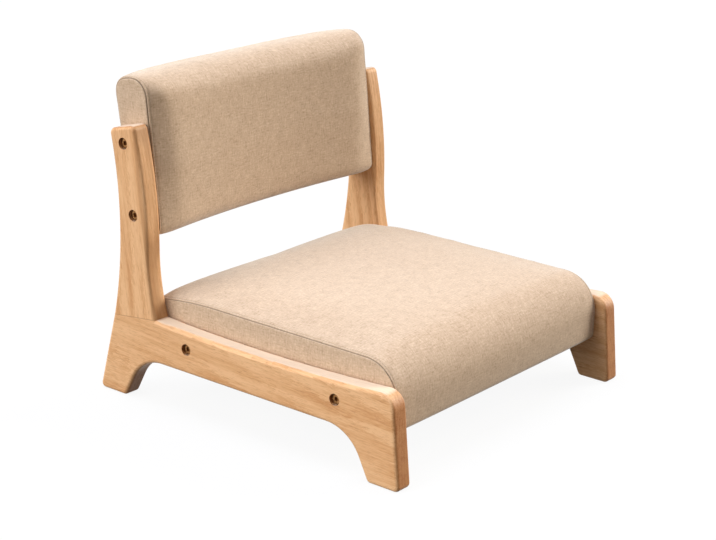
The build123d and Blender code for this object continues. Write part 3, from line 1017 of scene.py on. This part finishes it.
def bow(x, half, sagitta):
    """How far the curved back lies behind its ends."""
    radius = (half**2 + sagitta**2) / (2 * sagitta)
    return math.sqrt(radius**2 - x**2) - (radius - sagitta)


def risen(x, h, half, back):
    """0 at an end seam and along the lower edge, 1 on the padding inside them."""
    up = (h + back.below) / (back.above + back.below)
    flank = back.flank_low + (back.flank_top - back.flank_low) * min(max(up, 0), 1)
    share = min(max((half - abs(x)) / flank, 0), 1)
    return math.sin(share * math.pi / 2) * (0.6 + 0.4 * eased(up / 0.5))


def back_point(x, run, parts, half, back, axes):
    """Where a point of the back cover lies before it is filled."""
    (n, h), (out_n, out_h) = point_on(parts, run)
    upper, rear, up = axes
    share = crown_share(x, half, *BACK_DOME)
    padding = risen(x, h, half, back)
    if out_n < 0:
        n += padding * back.front_crown * out_n
    else:
        n += share * back.rear_crown * out_n
    h += share * back.top_crown * out_h
    n += bow(x, half, back.sagitta)
    return upper + rear * n + up * h + Vector((x, 0, 0))


def build_back_cover(half, back, cloth):
    """The closed cover: a sleeve seamed underneath and two end panels."""
    bm = bmesh.new()
    parts, axes = rounded_path(back_corners(back)), back_axes()
    total = sum(part_length(p) for p in parts)
    turns = [half_arc(parts, index) for index in (1, 3, 5, 7)]
    fore, rail, crest, aft = 7, 40, 10, 3
    rows = spaced(0, turns[0], fore) + spaced(turns[0], turns[1], rail)
    rows += spaced(turns[1], turns[2], crest) + spaced(turns[2], turns[3], rail)
    rows += [*spaced(turns[3], total, aft), total]

    def point(x, run):
        return back_point(x, run, parts, half, back, axes)

    main, ends, stitched = main_panel(bm, half, cloth.stitch_inset, rows, point)
    top_front, top_rear = fore + rail, fore + rail + crest
    low_rear = top_rear + rail
    for panel, end in enumerate(ends, 1):
        profile = [vert.co.copy() for vert in end]
        sole = profile[fore::-1] + profile[-2 : low_rear - 1 : -1]
        top = profile[top_front : top_rear + 1]
        left = profile[fore : top_front + 1]
        right = profile[low_rear : top_rear - 1 : -1]
        end_panel(bm, (sole, top, left, right), panel)
    closing = [vert.co.copy() for (_, row), vert in main.items() if row == 0]
    return bm, sew(bm, stitched, closing)


def line_room(bm, half, back):
    """Lines the room inside the back for its frame and boards."""
    upper, rear, up = back_axes()
    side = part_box("back_board_front")[1].x + GAP
    depth, above, below = (size + GAP for size in BACK_ROOM)
    cover = bm.verts.layers.int.new("cover")
    for vert in bm.verts:
        vert[cover] = 1
    cube = bmesh.ops.create_cube(bm, size=2)["verts"]
    long = {e for v in cube for e in v.link_edges if e.calc_length() > 1}
    long = [e for e in long if abs(e.verts[0].co.x - e.verts[1].co.x) > 1]
    bmesh.ops.subdivide_edges(bm, edges=long, cuts=23, use_grid_fill=True)
    room = [vert for vert in bm.verts if not vert[cover]]
    for vert in room:
        x, n, h = vert.co
        n = n * depth + bow(x * side, half, back.sagitta)
        h = above if h > 0 else -below
        vert.co = upper + rear * n + up * h + Vector((x * side, 0, 0))
    faces = list({f for v in room for f in v.link_faces})
    bmesh.ops.recalc_face_normals(bm, faces=faces)
    bmesh.ops.reverse_faces(bm, faces=faces)
    keep_sharp(bm, {e for v in room for e in v.link_edges})


class CHAIR_OT_back_cushion(bpy.types.Operator):
    """Sews and fills the curved padded back"""

    bl_idname = "chair.back_cushion"
    bl_label = "Back Cushion"

    def execute(self, context):
        back, cloth = context.scene.chair_back, context.scene.chair_upholstery
        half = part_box("back_cover")[1].x
        bm, stitched = build_back_cover(half, back, cloth)
        side, post_top = half - 1e-4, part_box("back_post_left")[1].z + 0.004
        upper, _, up = back_axes()

        def limit(co):
            padding = risen(co.x, (co - upper).dot(up), half, back)
            return back.puff * (0.2 + 0.8 * padding)

        piece, paths = sew_and_fill(
            "back_cushion",
            bm,
            stitched,
            half,
            held_verts(bm, lambda c: abs(c.x) > side and c.z < post_top),
            limit,
            lambda bm: line_room(bm, half, back),
        )
        finish_cushion(piece, "back_cover", "back_foam")
        add_topstitch(piece, "back_topstitch", paths, cloth)
        return {"FINISHED"}


# ---- Finishes ----
class CHAIR_OT_wood_finish(bpy.types.Operator):
    """Gives the side frames their solid wood"""

    bl_idname = "chair.wood_finish"
    bl_label = "Wood Finish"

    def execute(self, context):
        wood, up = context.scene.chair_wood, back_axes()[2]
        for side, sign in (("left", -1), ("right", 1)):
            rail = solid_wood(
                f"rail_wood_{side}",
                wood,
                (88, 2.5, 0),
                (sign * 0.19, -0.03 * sign - 0.02, 0.0),
                (0.0, 1.0, 0.0),
                bolt_centres("seat_bolts_left"),
            )
            post = solid_wood(
                f"post_wood_{side}",
                wood,
                (8, 1.5, 0),
                (sign * 0.17, -0.24, 0.0),
                up,
                bolt_centres("back_bolts_left"),
                POST_ARRIS_SHADE if side == "left" else None,
            )
            dress(rail, f"side_rail_{side}")
            dress(post, f"back_post_{side}")
        return {"FINISHED"}


class CHAIR_OT_hardware_finish(bpy.types.Operator):
    """Gives bolts, inserts and screws their metal"""

    bl_idname = "chair.hardware_finish"
    bl_label = "Hardware Finish"

    def execute(self, context):
        bronze = plain_metal(
            "bolt_bronze", (0.19, 0.085, 0.028), (0.44, 0.24, 0.10), (0.32, 0.52)
        )
        zinc = plain_metal(
            "zinc_steel", (0.40, 0.39, 0.36), (0.52, 0.50, 0.46), (0.30, 0.45)
        )
        for part in ("seat", "back"):
            for side in ("left", "right"):
                dress(bronze, f"{part}_bolts_{side}")
                dress(zinc, f"{part}_inserts_{side}")
        dress(zinc, "seat_board_screws")
        return {"FINISHED"}


class CHAIR_OT_inner_finish(bpy.types.Operator):
    """Gives the frames, boards and dowels inside the chair their wood"""

    bl_idname = "chair.inner_finish"
    bl_label = "Inner Finish"

    def execute(self, context):
        along_x, along_y, along_z = (9, 160, 160), (160, 9, 160), (160, 160, 9)
        pale, dark = (0.69, 0.48, 0.26), (0.55, 0.35, 0.17)
        lengthways = inner_material("inner_wood_long", pale, dark, along_y)
        crossways = inner_material("inner_wood_cross", pale, dark, along_x)
        upright = inner_material("inner_wood_upright", pale, dark, along_z)
        ply = inner_material("plywood", (0.60, 0.41, 0.22), (0.46, 0.29, 0.14), along_x)
        beech = inner_material(
            "dowel_beech", (0.67, 0.45, 0.25), (0.52, 0.32, 0.16), along_x
        )
        dress(lengthways, "seat_frame_side_left", "seat_frame_side_right")
        dress(crossways, "seat_frame_front", "seat_frame_middle", "seat_frame_rear")
        dress(crossways, "back_rail_top", "back_rail_bottom")
        dress(upright, "back_stile_left", "back_stile_right")
        dress(ply, "seat_board", "back_board_front", "back_board_rear")
        dress(beech, "seat_frame_dowels", "back_frame_dowels")
        dress(beech, "post_dowels_left", "post_dowels_right")
        return {"FINISHED"}


# ---- Stage ----
def seen_apart(tree, lit, seen, end):
    """Lights the chair with lit, and shows seen: directly, in gloss or in glass."""
    path = add_node(tree, "ShaderNodeLightPath").outputs
    share = maths(tree, "MAXIMUM", path["Is Camera Ray"], path["Is Glossy Ray"])
    share = maths(tree, "MAXIMUM", share, path["Is Transmission Ray"])
    inputs = {0: share, 1: lit.outputs[0], 2: seen.outputs[0]}
    both = add_node(tree, "ShaderNodeMixShader", inputs)
    tree.links.new(both.outputs[0], tree.nodes[end].inputs[0])


def studio_world(strength):
    world = bpy.data.worlds.new("studio")
    world.use_nodes = True
    tree = world.node_tree
    soft = tree.nodes["Background"]
    feed_all(tree, soft, {"Color": AMBIENT_TINT, "Strength": strength})
    white = add_node(tree, "ShaderNodeBackground", WHITE)
    seen_apart(tree, soft, white, "World Output")
    bpy.context.scene.world = world


def floor_material(seen):
    """A pale floor: white to the camera, but with the chair's soft shadow."""
    material, tree, shader = new_material("floor_paper")
    tree.nodes.remove(shader)
    grey = add_node(tree, "ShaderNodeBsdfDiffuse", {"Color": FLOOR_GREY})
    paper = add_node(tree, "ShaderNodeBsdfDiffuse", {"Color": seen}).outputs[0]
    glow = add_node(tree, "ShaderNodeEmission", WHITE).outputs[0]
    shown = add_node(tree, "ShaderNodeMixShader", {0: FLOOR_GLOW, 1: paper, 2: glow})
    seen_apart(tree, grey, shown, "Material Output")
    return material


class CHAIR_OT_stage(bpy.types.Operator):
    """Lays the floor and sets the lights and the camera"""

    bl_idname = "chair.stage"
    bl_label = "Stage"

    def execute(self, context):
        stage, scene = context.scene.chair_stage, context.scene
        bm = bmesh.new()
        bmesh.ops.create_grid(bm, x_segments=1, y_segments=1, size=30)
        floor = to_object(bm, "floor", floor_material(stage.floor))
        studio_world(stage.ambient)
        for name, (wide, source, tint) in LAMPS.items():
            sun = bpy.data.lights.new(name, "SUN")
            sun.energy, sun.angle = getattr(stage, name), math.radians(wide)
            sun.color = tint
            lamp = bpy.data.objects.new(name, sun)
            lamp.rotation_euler = Vector(source).to_track_quat("Z", "Y").to_euler()
            scene.collection.objects.link(lamp)
        lens = bpy.data.cameras.new("camera")
        lens.lens, lens.clip_start, lens.clip_end = stage.lens, 0.05, 100
        camera = bpy.data.objects.new("camera", lens)
        look = Euler((math.pi / 2 - stage.elevation, 0, stage.azimuth)).to_matrix()
        look = look @ Matrix.Rotation(stage.roll, 3, "Z")
        camera.matrix_world = Matrix.Translation(stage.place) @ look.to_4x4()
        scene.collection.objects.link(camera)
        scene.camera = camera
        scene.view_settings.view_transform = "Standard"
        return {"FINISHED"}


# ---- Panel and run ----
STEPS = (
    "stage",
    "wood_finish",
    "hardware_finish",
    "inner_finish",
    "seat_cushion",
    "dust_cover",
    "back_cushion",
)


class CHAIR_PT_parts(bpy.types.Panel):
    """Lists the steps that make the chair"""

    bl_idname = "CHAIR_PT_parts"
    bl_label = "Floor Chair"
    bl_space_type = "VIEW_3D"
    bl_region_type = "UI"
    bl_category = "Floor Chair"

    def draw(self, context):
        for step in STEPS:
            self.layout.operator(f"chair.{step}")


GROUPS = {
    "chair_wood": WoodSettings,
    "chair_upholstery": UpholsterySettings,
    "chair_seat": SeatSettings,
    "chair_back": BackSettings,
    "chair_stage": StageSettings,
}
CLASSES = (
    *GROUPS.values(),
    CHAIR_OT_stage,
    CHAIR_OT_wood_finish,
    CHAIR_OT_hardware_finish,
    CHAIR_OT_inner_finish,
    CHAIR_OT_seat_cushion,
    CHAIR_OT_dust_cover,
    CHAIR_OT_back_cushion,
    CHAIR_PT_parts,
)


def register():
    for made in CLASSES:
        bpy.utils.register_class(made)
    for name, group in GROUPS.items():
        setattr(bpy.types.Scene, name, PointerProperty(type=group))


def unregister():
    for name in GROUPS:
        delattr(bpy.types.Scene, name)
    for made in reversed(CLASSES):
        bpy.utils.unregister_class(made)


def main():
    register()
    for step in STEPS:
        getattr(bpy.ops.chair, step)()
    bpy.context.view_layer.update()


if __name__ == "__main__":
    main()
